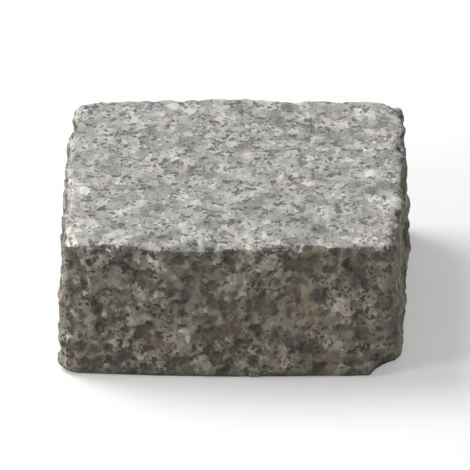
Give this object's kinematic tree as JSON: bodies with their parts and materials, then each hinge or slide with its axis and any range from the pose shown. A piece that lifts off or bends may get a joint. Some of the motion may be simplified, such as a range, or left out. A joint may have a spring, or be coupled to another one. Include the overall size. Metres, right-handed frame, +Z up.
{
  "type": "granite sett",
  "caption": "Cropped granite paving sett: a squarish stone block with split, slightly bulging flanks, a flat head and bed, rounded corners and chipped edges.",
  "frame": {"origin": "on the plane of the bed, under the middle of the block's box", "axes": "+X along the longer side, to the right seen from the front flank; +Y from the front flank to the back; +Z up, from the bed to the head"},
  "size_m": [0.0999, 0.0937, 0.042],
  "materials": {
    "granite": "split flanks with dark weathering, lighter worn head, fine salt-and-pepper grain"
  },
  "bodies": {
    "root": {"granite_sett": "granite"}
  },
  "joints": []
}
